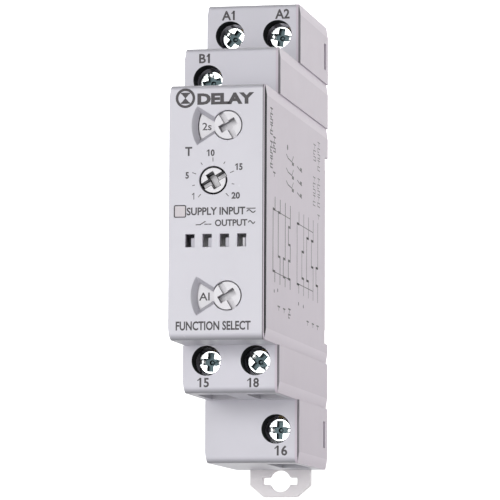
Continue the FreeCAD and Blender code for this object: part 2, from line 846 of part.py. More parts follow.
def busbar(name, side, up, step):
    """The bar through the cage, with a tail that turns aside to the main board.

    The left-hand bars cross to the board further in, past the tails of the right-hand ones.
    """
    x, _, z = screw_place(side, up, step)
    edge = f"{'board' if step == 'shoulder' else 'wing'}_{'top' if up > 0 else 'low'}"
    inset = "bar_tail + 4 * gap" if side < 0 else "0"
    tail_start = f"{up} * ({edge} - ({z})) - ({inset})"
    leg_z = along_z(up, "0", f"{tail_start} - bar_tail", "clamp_length / 2 + bar_overlap")
    tail_z = along_z(up, "0", f"{tail_start} - bar_tail", tail_start)
    bar_y = ("bar_front", "bar_back")
    board = f"board_x - ({x})"
    leg = block(f"bar_leg_{name}", around("0", "bar_half"), bar_y, leg_z)
    tail = block(f"bar_tail_{name}", ("-bar_half", board), bar_y, tail_z)
    clear = block(f"bar_clear_{name}", (board, "3 * half_width"), ("0", "bar_back + over"), tail_z)
    return cut(f"bar_{name}", joined(f"bar_blank_{name}", leg, tail), clear)


# ---------------------------------------------------------------- front controls


def driver_recess(name, kind, reach):
    """A slot across a round face and a wider, deeper, shorter arm across the slot."""
    open_end = "-over"
    slot_y = (open_end, f"{kind}_slot_depth")
    arm_y = (open_end, f"{kind}_arm_depth")
    return [
        block(f"{name}_slot", around("0", reach), slot_y, around("0", f"{kind}_slot_half")),
        block(f"{name}_arm", around("0", f"{kind}_arm_half"), arm_y, around("0", f"{kind}_arm")),
    ]


def dial(name, height, disc_radius, turn):
    """A selector: a printed disc behind the window, a hub for a driver, and a short shaft."""
    centre = ("0", "0")
    z = f"rail_offset + {height}"
    shaft_y = ("disc_back - gap", "disc_back + dial_shaft_length")
    nib_y = ("hub_slot_depth", "disc_front + gap")
    pieces = [
        rod(f"{name}_disc", "y", disc_radius, centre, ("disc_front", "disc_back")),
        rod(f"{name}_hub", "y", "hub_radius", centre, ("0", "disc_front + gap")),
        block(f"{name}_nib", ("0", "hub_nib"), nib_y, around("0", "hub_slot_half")),
        rod(f"{name}_shaft", "y", "dial_shaft_radius", centre, shaft_y),
    ]
    recess = driver_recess(name, "hub", "hub_radius + gap")
    knob = cut(f"{name}_knob", joined(f"{name}_blank", *pieces), *recess)
    put(knob, "dial_x", "front + hub_set_back", z, Rotation(Vector(0, 1, 0), turn))
    subpart(knob, f"{name}_dial")
    side = "switch_side / 2"
    box_y = ("switch_front", "switch_back")
    box = block(f"{name}_switch_box", around("dial_x", side), box_y, around(z, side))
    bore_y = ("switch_front - over", "switch_front + switch_bore")
    bore = rod(f"{name}_switch_bore", "y", "dial_shaft_radius + gap", ("dial_x", z), bore_y)
    subpart(cut(f"{name}_switch", box, bore), f"{name}_switch_body")


def trimmer(turn):
    """The fine time setting: a rotor reached through the face, in its square body."""
    z = "rail_offset + trimmer_z"
    drum = rod("trimmer_drum", "y", "trimmer_radius", ("0", "0"), ("0", "trimmer_length"))
    recess = driver_recess("trimmer", "trimmer", "trimmer_radius + gap")
    rotor = cut("trimmer_turning", drum, *recess)
    put(rotor, "trimmer_x", "front + hub_set_back", z, Rotation(Vector(0, 1, 0), turn))
    subpart(rotor, "trimmer_rotor")
    body_y = ("switch_front - trimmer_lift", "switch_back")
    side = "trimmer_body_side / 2"
    box = block("trimmer_box", around("trimmer_x", side), body_y, around(z, side))
    bore_y = (f"{body_y[0]} - over", "front + hub_set_back + trimmer_length + gap")
    bore = rod("trimmer_bore", "y", "trimmer_radius + gap", ("trimmer_x", z), bore_y)
    subpart(cut("trimmer_seat", box, bore), "trimmer_body")


def indicator():
    """The square lens, which is the end of a light pipe, and the light behind it."""
    z = "rail_offset + lens_z"
    side = "lens_side / 2 - gap / 2"
    lens_y = ("front", "front + lens_length")
    subpart(block("lens", around("lens_x", side), lens_y, around(z, side)), "status_lens")
    light_x = ("-front_board_half_width", "lens_x + light_half + gap")
    light_y = (f"{lens_y[1]} + gap", "switch_back")
    subpart(block("light", light_x, light_y, around(z, "light_half")), "status_led")


# ---------------------------------------------------------------- electronics


def boards():
    """The front board behind the face, the main board along the side cover, and the header between."""
    span = ("board_low", "board_top")
    across = around("0", "front_board_half_width")
    front_y = ("-front_board_depth", "-front_board_depth + board_thick")
    subpart(block("face_board", across, front_y, span), "front_board")
    through = ("board_x", "board_right")
    core = block("board_core", through, ("-board_front", "-board_back"), span)
    wing = block("board_wing", through, ("-wing_front", "-board_back"), ("wing_low", "wing_top"))
    subpart(joined("side_board", core, wing), "main_board")
    header_y = (front_y[1], f"{front_y[1]} + header_side")
    header_z = around("rail_offset", "header_half")
    subpart(block("header", ("board_x - header_side", "board_x"), header_y, header_z), "pin_header")


def components():
    """The parts on the main board, apart from the relay."""
    can_centre = ("can_y", "can_z")
    can_x = ("board_x - can_high", "board_x - can_lift")
    can = rod("capacitor_can", "x", "can_radius", can_centre, can_x)
    foot = rod("capacitor_foot", "x", "can_foot_radius", can_centre, ("board_x - can_lift - gap", "board_x"))
    subpart(joined("capacitor", can, foot), "supply_capacitor")
    subpart(standing_block("film"), "film_capacitor")
    disc_y = ("-varistor_front", "-varistor_back")
    disc_centre = ("board_x - varistor_radius", "varistor_z")
    subpart(rod("disc", "y", "varistor_radius", disc_centre, disc_y), "varistor")
    subpart(standing_block("bridge"), "bridge_rectifier")
    controller()
    row = []
    for i in range(3):
        centre = ("board_x - resistor_radius", f"resistor_first_z - {i} * resistor_pitch")
        length = ("-resistor_front", "-resistor_back")
        row.append(rod(f"resistor_{i + 1}", "y", "resistor_radius", centre, length))
    subpart(joined("resistor_row", *row), "resistors")


def standing_block(kind):
    """A plain box that stands on the main board, with its sizes under its own name in the sheet."""
    across = (f"board_x - {kind}_high", "board_x")
    return block(kind, across, (f"-{kind}_front", f"-{kind}_back"), (f"{kind}_low", f"{kind}_top"))


def controller():
    """The chip, on seven pairs of leads."""
    case_x = ("board_x - chip_high", "board_x - chip_lift")
    case_y = ("-chip_front", "-chip_back")
    pieces = [block("chip_case", case_x, case_y, around("chip_z", "chip_half"))]
    lead_y = ("-chip_front - lead_reach", "lead_reach - chip_back")
    for i in range(-3, 4):
        lead_z = around(f"chip_z + {i} * lead_pitch", "lead_half")
        pieces.append(block(f"chip_leads_{i + 4}", ("board_x - lead_high", "board_x"), lead_y, lead_z))
    subpart(joined("chip", *pieces), "controller_chip")


def relay():
    """The output relay: a closed case over its coil, magnet circuit and changeover contact."""
    relay_shell()
    relay_coil()
    relay_magnet()
    relay_contacts()


def relay_shell():
    y_all = ("-relay_front", "-relay_back")
    z_all = ("relay_low", "relay_high")
    base = "board_x - relay_floor_thick"
    subpart(block("relay_floor", (base, "board_x"), y_all, z_all), "relay_base")
    skin = block("relay_skin", ("relay_side", base), y_all, z_all)
    room_y = ("relay_wall - relay_front", "-relay_back - relay_wall")
    room_z = ("relay_low + relay_wall", "relay_high - relay_wall")
    room = block("relay_room", ("relay_side + relay_wall", base), room_y, room_z)
    subpart(cut("relay_shell", skin, room), "relay_case")


def relay_coil():
    """A bobbin about the relay's axis, with the winding between its two rims."""
    wound_y = ("relay_wall - bobbin_front", "-bobbin_back - relay_wall")
    whole_y = ("-bobbin_front", "-bobbin_back")
    through = ("-bobbin_front - over", "over - bobbin_back")
    tube = rod("bobbin_tube", "y", "tube_radius", RELAY_AXIS, whole_y)
    front_rim = rod("bobbin_front_rim", "y", "flange_radius", RELAY_AXIS, (whole_y[0], wound_y[0]))
    rear_rim = rod("bobbin_rear_rim", "y", "flange_radius", RELAY_AXIS, (wound_y[1], whole_y[1]))
    hole = rod("bobbin_hole", "y", "core_radius + gap / 2", RELAY_AXIS, through)
    subpart(cut("bobbin", joined("bobbin_blank", tube, front_rim, rear_rim), hole), "relay_bobbin")
    wound = rod("coil_outside", "y", "winding_radius", RELAY_AXIS, wound_y)
    inside = rod("coil_inside", "y", "tube_radius", RELAY_AXIS, through)
    subpart(cut("coil", wound, inside), "relay_winding")


def relay_magnet():
    """The core and yoke in one piece, and the armature that closes their gap."""
    plate_x = around("relay_axis_x", "yoke_half")
    pole_y = ("-bobbin_front - gap * 2", "-armature_face - pole_gap")
    core = rod("yoke_core", "y", "core_radius", RELAY_AXIS, pole_y)
    back_y = ("-bobbin_front - yoke_thick - gap", "-bobbin_front - gap")
    back = block("yoke_back", plate_x, back_y, ("relay_axis_z - yoke_half", "hinge_z"))
    arm_y = (back_y[0], "-armature_face - gap")
    arm = block("yoke_arm", plate_x, arm_y, ("hinge_z - yoke_thick", "hinge_z"))
    subpart(joined("yoke", core, back, arm), "relay_yoke")
    plate_z = ("armature_low", "hinge_z")
    plate = block("armature_plate", around("relay_axis_x", "armature_half"), ARMATURE_DEPTH, plate_z)
    subpart(plate, "relay_armature")


def relay_contacts():
    """The blade that the armature carries, with its button between the rest and work contacts."""
    blade_y = (ARMATURE_DEPTH[1], f"{ARMATURE_DEPTH[1]} + blade_thick")
    blade_z = ("contact_z - contact_radius", "relay_axis_z")
    strip = block("blade_strip", around("relay_axis_x", "contact_radius"), blade_y, blade_z)
    button_y = (f"{blade_y[0]} - button_front", f"{blade_y[1]} + button_back")
    button = rod("blade_button", "y", "contact_radius", ("relay_axis_x", "contact_z"), button_y)
    subpart(joined("blade", strip, button), "relay_blade")
    contact_x = ("relay_axis_x - contact_radius", "board_x - relay_floor_thick")
    contact_z = around("contact_z", "contact_radius + contact_edge")
    rest_start = f"{button_y[1]} + gap / 2"
    rest_y = (rest_start, f"{rest_start} + contact_thick")
    subpart(block("rest_contact", contact_x, rest_y, contact_z), "relay_rest_contact")
    work_end = f"{button_y[0]} - contact_gap"
    work_y = (f"{work_end} - contact_thick", work_end)
    subpart(block("work_contact", contact_x, work_y, contact_z), "relay_work_contact")


# ---------------------------------------------------------------- checking and writing


def check_document():
    """Stop on any object that failed to compute and any piece that isn't a sound solid."""
    faults = [f"{item.Name}: {item.State}" for item in doc.Objects if {"Invalid", "Error"} & set(item.State)]
    for item in subparts:
        shape = item.Shape
        if shape.isNull() or not shape.isValid() or not shape.Solids:
            faults.append(f"{item.Label}: not a valid solid")
    if faults:
        sys.exit("\n".join(faults))


def write_parts():
    os.makedirs("parts", exist_ok=True)
    for item in subparts:
        item.Shape.exportStep(f"parts/{item.Label}.step")
        print(f"{item.Label}: {len(item.Shape.Solids)} solid(s), {item.Shape.Volume:.2f} mm3")
    print(f"{len(subparts)} nodes")


sheet = fill_sheet()
module_form = outer_form()
casing(module_form)
cover(module_form)
front_face(module_form)
rail_clip()
clip_spring()
for terminal_name, (side, up, step, turn) in TERMINALS.items():
    terminal(terminal_name, side, up, step, turn)
dial("range", "range_dial_z", "range_disc_radius", DIAL_TURN)
dial("function", "function_dial_z", "function_disc_radius", DIAL_TURN)
trimmer(TRIMMER_TURN)
indicator()
boards()
components()
relay()
doc.recompute()
check_document()
write_parts()
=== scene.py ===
"""Looks of the one-module rail timer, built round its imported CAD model. Lengths are in metres, +Z up."""

import json
import math

import bmesh
import bpy
from mathutils import Matrix, Vector


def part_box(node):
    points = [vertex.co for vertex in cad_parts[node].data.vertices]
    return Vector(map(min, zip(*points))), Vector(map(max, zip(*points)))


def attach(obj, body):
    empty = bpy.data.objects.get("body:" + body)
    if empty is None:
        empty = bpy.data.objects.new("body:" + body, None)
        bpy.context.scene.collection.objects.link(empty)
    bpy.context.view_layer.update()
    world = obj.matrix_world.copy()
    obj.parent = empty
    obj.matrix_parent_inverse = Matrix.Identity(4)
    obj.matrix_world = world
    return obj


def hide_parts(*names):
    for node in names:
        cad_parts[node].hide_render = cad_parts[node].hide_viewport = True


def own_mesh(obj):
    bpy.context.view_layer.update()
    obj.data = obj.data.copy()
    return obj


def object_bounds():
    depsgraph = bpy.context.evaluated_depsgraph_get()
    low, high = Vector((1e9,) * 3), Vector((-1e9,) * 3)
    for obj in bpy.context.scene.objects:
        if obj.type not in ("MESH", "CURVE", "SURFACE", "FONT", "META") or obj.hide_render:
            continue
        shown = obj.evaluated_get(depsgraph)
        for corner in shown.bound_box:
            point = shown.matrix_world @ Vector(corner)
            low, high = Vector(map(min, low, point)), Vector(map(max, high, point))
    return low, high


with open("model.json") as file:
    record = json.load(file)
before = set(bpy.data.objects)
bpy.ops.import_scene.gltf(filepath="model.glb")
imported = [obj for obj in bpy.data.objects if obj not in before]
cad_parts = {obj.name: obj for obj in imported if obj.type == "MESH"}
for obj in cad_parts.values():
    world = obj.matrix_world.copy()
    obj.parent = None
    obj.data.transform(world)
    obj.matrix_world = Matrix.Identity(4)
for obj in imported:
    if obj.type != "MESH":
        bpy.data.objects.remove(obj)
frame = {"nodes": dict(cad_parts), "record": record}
cad_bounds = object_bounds()

MM = 0.001
INK = (0.05, 0.044, 0.05)
# how far behind the face of its step a screw's head lies
HEAD_RECESS = 3.8 * MM
# the painted shade round a screw's recess, in m from the middle of its head
CROSS_HALF = 0.61 * MM
CROSS_SHORT_REACH = 1.22 * MM
CROSS_REACH = 1.72 * MM
SLOT_EDGE = 0.41 * MM
SLOT_REACH = 2.3 * MM
SLOT_LINE = 0.10 * MM
# the reach of the painted shade in a driver well and on its wall: a little over the radius of the bore
WELL_RADIUS = 2.69 * MM
# The painted shade in the steps down the cover's front corners: its width, how far in from the side its
# middle lies as a share of it, and how far past each corner it reaches.
SEAM_DEPTH = 0.36 * MM
SEAM_MIDDLE = 0.55
SEAM_SPARE = 0.02 * MM
# the painted shade in the joint along the panel's right edge, and the length of its ends that count as
# rounded
PANEL_JOINT = 0.16 * MM
PANEL_ROUND = 1.6 * MM
# how thick a skin of the front board's face carries the painted light
BOARD_SKIN = 0.1 * MM
# how far a selector's printed disc lies behind the front of its hub
DISC_SET_BACK = 1.35 * MM
PRINT_LIFT = 0.012 * MM
PRINT_THICK = 0.02 * MM
SPRING_WIRE = 0.45 * MM
SPRING_TURNS = 7
STEPS_PER_TURN = 20
# the wave texture's scale that draws the relay coil's turns, which come out about 0.43 mm apart
WINDING_SCALE = 723.45
# how much the font's strokes are thickened, as a share of its size
WORD_WEIGHT = 0.028
NUMBER_WEIGHT = 0.036
MARK_WEIGHT = 0.028
DIAL_WEIGHT = 0.012
TITLE_WEIGHT = 0.055
FLOOR_DROP = 0.2
FLOOR_SIDE = 3
FLOOR_PAINT = (0.88, 0.88, 0.88, 1)
# the middle of the object, which the lamps stand round
STAGE_MIDDLE = Vector((0, -0.03, 0))

# The photo's camera, fitted to the case's edges: azimuth, elevation and roll in degrees, and the point it
# looks at.
CAMERA_TURN = (11.46, -6.0, 0.26)
CAMERA_AIM = Vector((5.51, -55.67, -5.68)) * MM
CAMERA_DISTANCE = 0.67023
CAMERA_LENS = 275.16

# How squarely a face looks along an axis, from 0 to 1, where the painted masks change over.
FRONT_FACING = 0.93
ROUND_FACING = (0.3, 0.85)
LEVEL_FACING = 0.98
SLOPE_FACING = 0.1
SIDE_FACING = 0.9
ARC_WALL_FACING = (0.45, 0.95)
ARC_WALL_SHADE = 0.82

# How strongly the backdrop lights the object at each sine of the elevation: from below (-1), from the
# side (0) and from above (1).
SKY = {
    -1.0: 0.0,
    -0.4: 0.02,
    -0.1: 0.02,
    0.05: 1.32,
    0.2: 2.05,
    0.45: 0.05,
    1.0: 0.05,
}

# Each lamp's azimuth and elevation in degrees, its distance and its (width, height) in m, and its power
# in W.
LIGHTS = {
    "front_lamp": (-13, -1, 0.8, (0.42, 0.42), 1.88),
    "right_lamp": (95, 8, 0.8, (0.5, 0.5), 0.6),
    "rear_lamp": (200, 66, 0.9, (0.6, 0.5), 2.6),
    "under_lamp": (180, -27, 0.2, (0.12, 0.08), 0.03),
}

# Each terminal's printed mark, its middle and size in mm from the middle of the screw, and how far in
# degrees the screw stands turned, clockwise seen from the front.
TERMINALS = {
    "a1": ("A1", (-0.34, 3.76), (2.45, 1.77), 38),
    "a2": ("A2", (0.93, 3.80), (2.73, 1.82), 8),
    "b1": ("B1", (-0.65, 3.90), (1.99, 1.70), 78),
    "15": ("15", (-0.57, -3.90), (2.14, 1.70), 4),
    "18": ("18", (-0.40, -3.98), (2.15, 1.70), 42),
    "16": ("16", (0.94, -3.95), (2.40, 1.85), 2),
}


# ---------------------------------------------------------------- places taken from the frame


def middle(node):
    low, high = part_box(node)
    return (low + high) / 2


def face_y(node):
    """The front of a node: its lowest y."""
    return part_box(node)[0].y


def add_object(name, data):
    """A new object in the scene that shows the data."""
    item = bpy.data.objects.new(name, data)
    bpy.context.scene.collection.objects.link(item)
    return item


def mesh_from(item):
    """The mesh that a curve or a lettering object comes out as."""
    return bpy.data.meshes.new_from_object(item.evaluated_get(bpy.context.evaluated_depsgraph_get()))


# ---------------------------------------------------------------- materials


class Recipe:
    """A node material: a Principled shader with named inputs, and helpers that add nodes to it."""

    def __init__(self, name):
        self.material = bpy.data.materials.new(name)
        self.material.use_nodes = True
        self.tree = self.material.node_tree
        self.shader = self.tree.nodes["Principled BSDF"]
        self.place = self.add("ShaderNodeTexCoord").outputs["Object"]

    def add(self, kind, **settings):
        node = self.tree.nodes.new(kind)
        for key, setting in settings.items():
            setattr(node, key, setting)
        return node

    def feed(self, socket, value):
        """Set an input to a plain value, or link it to another node's output."""
        if isinstance(value, bpy.types.NodeSocket):
            self.tree.links.new(value, socket)
        else:
            socket.default_value = value

    def math(self, operation, *values, clamp=False):
        node = self.add("ShaderNodeMath", operation=operation, use_clamp=clamp)
        for socket, value in zip(node.inputs, values):
            self.feed(socket, value)
        return node.outputs[0]

    def noise(self, size, detail=3.0, stretch=(1, 1, 1), roughness=0.5):
        """Noise whose features are about size metres across, from 0 to 1."""
        mapping = self.add("ShaderNodeMapping")
        mapping.inputs["Scale"].default_value = stretch
        self.feed(mapping.inputs["Vector"], self.place)
        node = self.add("ShaderNodeTexNoise")
        node.inputs["Scale"].default_value = 1 / size
        node.inputs["Detail"].default_value = detail
        node.inputs["Roughness"].default_value = roughness
        self.feed(node.inputs["Vector"], mapping.outputs[0])
        return node.outputs["Fac"]

    def spread(self, value, low, high):
        """Maps 0..1 to low..high."""
        node = self.add("ShaderNodeMapRange")
        self.feed(node.inputs["Value"], value)
        node.inputs["To Min"].default_value = low
        node.inputs["To Max"].default_value = high
        return node.outputs[0]

    def between(self, value, start, end):
        """Maps start..end to 0..1, held at both ends."""
        node = self.add("ShaderNodeMapRange")
        self.feed(node.inputs["Value"], value)
        node.inputs["From Min"].default_value = start
        node.inputs["From Max"].default_value = end
        return node.outputs[0]

    def blend(self, share, first, second):
        node = self.add("ShaderNodeMix", data_type="RGBA")
        self.feed(node.inputs["Factor"], share)
        for name, value in (("A", first), ("B", second)):
            socket = next(s for s in node.inputs if s.name == name and s.type == "RGBA")
            self.feed(socket, value if isinstance(value, bpy.types.NodeSocket) else (*value, 1))
        return next(s for s in node.outputs if s.type == "RGBA")

    def bump(self, height, strength, distance):
        node = self.add("ShaderNodeBump")
        node.inputs["Strength"].default_value = strength
        node.inputs["Distance"].default_value = distance
        self.feed(node.inputs["Height"], height)
        self.feed(self.shader.inputs["Normal"], node.outputs[0])

    def set(self, **inputs):
        for name, value in inputs.items():
            self.feed(self.shader.inputs[name.replace("_", " ")], value)

    def near_axis(self, centres, radius):
        """1 within radius of any of the lines along y through the centres, else 0."""
        nearest = None
        flat = self.add("ShaderNodeVectorMath", operation="MULTIPLY")
        self.feed(flat.inputs[0], self.place)
        flat.inputs[1].default_value = (1, 0, 1)
        for centre in centres:
            gap = self.add("ShaderNodeVectorMath", operation="DISTANCE")
            self.feed(gap.inputs[0], flat.outputs[0])
            gap.inputs[1].default_value = (centre.x, 0, centre.z)
            away = gap.outputs["Value"]
            nearest = away if nearest is None else self.math("MINIMUM", nearest, away)
        return self.math("LESS_THAN", nearest, radius)

    def off_plane(self, centre, direction):
        """How far a point is from the plane through the centre that is square to the direction."""
        dot = self.add("ShaderNodeVectorMath", operation="DOT_PRODUCT")
        self.feed(dot.inputs[0], self.place)
        dot.inputs[1].default_value = direction
        height = self.math("SUBTRACT", dot.outputs["Value"], centre.dot(Vector(direction)))
        return self.math("ABSOLUTE", height)

    def facing(self, axis):
        """How squarely a face looks along an axis, either way: 1 when it looks straight along it."""
        normal = self.add("ShaderNodeSeparateXYZ")
        self.feed(normal.inputs[0], self.add("ShaderNodeNewGeometry").outputs["True Normal"])
        return self.math("ABSOLUTE", normal.outputs["XYZ".index(axis)])

    def sloping(self):
        """0 on faces that look straight to the front or back, 1 on walls and rounded edges."""
        return self.math("LESS_THAN", self.facing("Y"), FRONT_FACING)

    def rounding_over(self):
        """0 on upright faces, up to 1 where an edge rounds over to the top or underside, 0 on those."""
        normal = self.add("ShaderNodeSeparateXYZ")
        self.feed(normal.inputs[0], self.add("ShaderNodeNewGeometry").outputs["Normal"])
        share = self.between(self.math("ABSOLUTE", normal.outputs["Z"]), *ROUND_FACING)
        return self.math("MULTIPLY", share, self.math("LESS_THAN", self.facing("Z"), LEVEL_FACING))

    def tint_where(self, share, colour):
        """Lay a plain colour over the base colour made so far, as far as the share says."""
        so_far = self.shader.inputs["Base Color"].links[0].from_socket
        self.set(Base_Color=self.blend(share, so_far, colour))

    def part_of_place(self, axis):
        node = self.add("ShaderNodeSeparateXYZ")
        self.feed(node.inputs[0], self.place)
        return node.outputs["XYZ".index(axis)]


def tinted(colour, amount):
    return tuple(min(1.0, c * amount) for c in colour)


def moulded(name, colour, roughness=0.28, grain=0.05, cloud=9.0):
    """A moulded plastic: slow clouding of its colour, a fine eroded grain and uneven gloss."""
    look = Recipe(name)
    clouds = look.noise(cloud * MM, 3)
    look.set(
        Base_Color=look.blend(clouds, tinted(colour, 0.965), tinted(colour, 1.03)),
        Roughness=look.spread(look.noise(2.2 * MM, 4), roughness - 0.05, roughness + 0.07),
    )
    look.bump(look.noise(0.22 * MM, 4), grain, 0.02 * MM)
    return look


def bare_metal(name, colour, roughness=0.3, stretch=(1, 1, 1), scratch=0.25):
    """A metal with fine directional scratches and patches of duller plating."""
    look = Recipe(name)
    dull = look.noise(1.4 * MM, 4)
    scratches = look.noise(0.12 * MM, 2, stretch)
    look.set(
        Base_Color=look.blend(dull, tinted(colour, 0.86), tinted(colour, 1.06)),
        Metallic=1.0,
        Roughness=look.spread(scratches, roughness - 0.08, roughness + 0.12),
    )
    look.bump(scratches, scratch, 0.01 * MM)
    return look


GREY = (0.640, 0.628, 0.690)
SIDE_GREY = (0.64, 0.572, 0.645)
WHITE = (0.79, 0.775, 0.81)
# painted light: the front board's face is white behind the slots, where the closed case leaves it in shade
BOARD_PAINTED_LIGHT = (0.72, 0.71, 0.74)
BLACK = (0.025, 0.025, 0.028)
STEEL = (0.66, 0.67, 0.69)

# Painted shading, chosen to match the photo. It isn't another material, and it stays under any light.
EDGE_SHADE = (0.36, 0.355, 0.39)
BEVEL_PAINTED_LIGHT = (0.72, 0.65, 0.725)
WELL_SHADE = (0.008, 0.011, 0.013)
SEAM_SHADE = (0.06, 0.057, 0.065)
SEAM_SOFT_SHADE = (0.26, 0.245, 0.27)
JOINT_SHADE = (0.16, 0.155, 0.17)
RECESS_SHADE = (0.036, 0.050, 0.054)
DIAL_WALL_SHADE = (0.27, 0.26, 0.28)
TRIMMER_WALL_SHADE = (0.02, 0.02, 0.024)


def casing_material():
    """Light grey plastic, with painted shade where its edges round over and inside the driver wells."""
    look = moulded("casing_plastic", GREY, roughness=0.36)
    # painted shade where the edges round over to the top and underside
    look.tint_where(look.rounding_over(), EDGE_SHADE)
    # painted shade inside the driver wells, as far back as the back of the deepest screw
    wells = look.near_axis([middle(f"terminal_screw_{name}") for name in TERMINALS], WELL_RADIUS)
    deepest = max(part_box(f"terminal_screw_{name}")[1].y for name in TERMINALS)
    wells = look.math("MULTIPLY", wells, look.math("LESS_THAN", look.part_of_place("Y"), deepest))
    look.tint_where(wells, WELL_SHADE)
    satin = look.shader.inputs["Roughness"].links[0].from_socket
    look.set(Roughness=look.math("MAXIMUM", satin, wells))
    return look.material


def cover_material():
    """The side's plastic: painted light on its sloping bands, painted shade in the steps down its front
    corners.
    """
    look = moulded("cover_plastic", SIDE_GREY, roughness=0.4)
    look.set(Specular_IOR_Level=0.3)
    # painted light on the sloping bands of the side
    slope = look.math("GREATER_THAN", look.facing("Z"), SLOPE_FACING)
    aside = look.math("GREATER_THAN", look.facing("X"), SIDE_FACING)
    look.tint_where(look.math("MULTIPLY", slope, aside), BEVEL_PAINTED_LIGHT)
    back, across = look.part_of_place("Y"), look.part_of_place("X")
    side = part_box("side_cover")[1].x
    beside = look.math("COMPARE", across, side - SEAM_MIDDLE * SEAM_DEPTH, SEAM_DEPTH / 2)
    upright = look.math("MULTIPLY", beside, look.math("LESS_THAN", look.facing("Z"), SLOPE_FACING))
    # painted shade in the steps, darkest at the front panel's corner
    steps = {
        face_y("front_panel"): SEAM_SHADE,
        face_y("terminal_screw_15") - HEAD_RECESS: SEAM_SOFT_SHADE,
        face_y("terminal_screw_16") - HEAD_RECESS: SEAM_SOFT_SHADE,
    }
    for start, colour in steps.items():
        in_step = look.math("COMPARE", back, start + SEAM_DEPTH / 2, SEAM_DEPTH / 2 + SEAM_SPARE)
        look.tint_where(look.math("MULTIPLY", in_step, upright), colour)
    return look.material


def panel_material():
    """The face's plastic, with painted shade on its rounded ends, on the windows' arcs and in its right-edge
    joint.
    """
    look = moulded("panel_plastic", GREY, roughness=0.24)
    low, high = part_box("front_panel")
    from_middle = look.off_plane((low + high) / 2, (0, 0, 1))
    at_end = look.math("GREATER_THAN", from_middle, (high.z - low.z) / 2 - PANEL_ROUND)
    look.tint_where(look.math("MULTIPLY", look.rounding_over(), at_end), EDGE_SHADE)
    aside = look.facing("X")
    least, most = ARC_WALL_FACING
    over, under = look.math("GREATER_THAN", aside, least), look.math("LESS_THAN", aside, most)
    look.tint_where(look.math("MULTIPLY", over, under), tinted(GREY, ARC_WALL_SHADE))
    # painted shade in the joint between the panel and the side cover
    joint = look.math("GREATER_THAN", look.part_of_place("X"), high.x - PANEL_JOINT)
    look.tint_where(joint, JOINT_SHADE)
    return look.material


def screw_material():
    """Bright zinc plate, with painted shade in the cross, on the walls of the recess and along the edges of
    the slot.
    """
    look = bare_metal("screw_zinc", (0.86, 0.89, 0.89), roughness=0.22, stretch=(1, 6, 1), scratch=0.1)
    dark = look.sloping()
    for name, (_, _, _, turn) in TERMINALS.items():
        angle = math.radians(turn)
        centre = middle(f"terminal_screw_{name}")
        along = look.off_plane(centre, (math.cos(angle), 0, -math.sin(angle)))
        aside = look.off_plane(centre, (math.sin(angle), 0, math.cos(angle)))
        within = look.math("LESS_THAN", along, SLOT_REACH)
        slot_edge = look.math("MULTIPLY", within, look.math("COMPARE", aside, SLOT_EDGE, SLOT_LINE))
        arms = [(CROSS_SHORT_REACH, CROSS_HALF), (CROSS_HALF, CROSS_REACH)]
        for long, wide in arms:
            near, beside = look.math("LESS_THAN", along, long), look.math("LESS_THAN", aside, wide)
            dark = look.math("MAXIMUM", dark, look.math("MULTIPLY", near, beside))
        dark = look.math("MAXIMUM", dark, slot_edge)
    # painted shade in the recesses and along the slots
    look.tint_where(dark, RECESS_SHADE)
    return look.material


def turned_plastic(name, wall_shade, roughness):
    """White plastic with painted shade on the walls of its recess for a driver."""
    look = moulded(name, WHITE, roughness=roughness, grain=0.05, cloud=2)
    # painted shade on the walls of the recess
    look.tint_where(look.sloping(), wall_shade)
    return look.material


def lens_material():
    look = moulded("lens_plastic", (0.63, 0.575, 0.61), roughness=0.12, grain=0.02, cloud=1.5)
    look.set(Transmission_Weight=0.1, IOR=1.49)
    return look.material


def translucent_white():
    look = moulded("clip_plastic", (0.97, 0.935, 0.955), roughness=0.4, grain=0.06, cloud=6)
    look.set(Transmission_Weight=0.18, IOR=1.3)
    return look.material


def winding_material():
    """Enamelled wire, wound turn beside turn along y."""
    look = Recipe("copper_wire")
    wave = look.add("ShaderNodeTexWave", bands_direction="Y")
    wave.inputs["Scale"].default_value = WINDING_SCALE
    wave.inputs["Distortion"].default_value = 0.6
    look.feed(wave.inputs["Vector"], look.place)
    turns = wave.outputs["Fac"]
    look.set(
        Base_Color=look.blend(turns, (0.20, 0.06, 0.02), (0.62, 0.26, 0.10)),
        Metallic=0.8,
        Roughness=0.32,
    )
    look.bump(turns, 0.6, 0.05 * MM)
    return look.material


def board_material():
    """Green solder mask, with painted light on the front board's face behind the slots and the lamp: white
    there.
    """
    look = moulded("board_laminate", (0.035, 0.16, 0.075), roughness=0.3, grain=0.08, cloud=3)
    in_front = look.math("LESS_THAN", look.part_of_place("Y"), face_y("front_board") + BOARD_SKIN)
    # painted light, white, on the front board's face
    look.tint_where(in_front, BOARD_PAINTED_LIGHT)
    return look.material


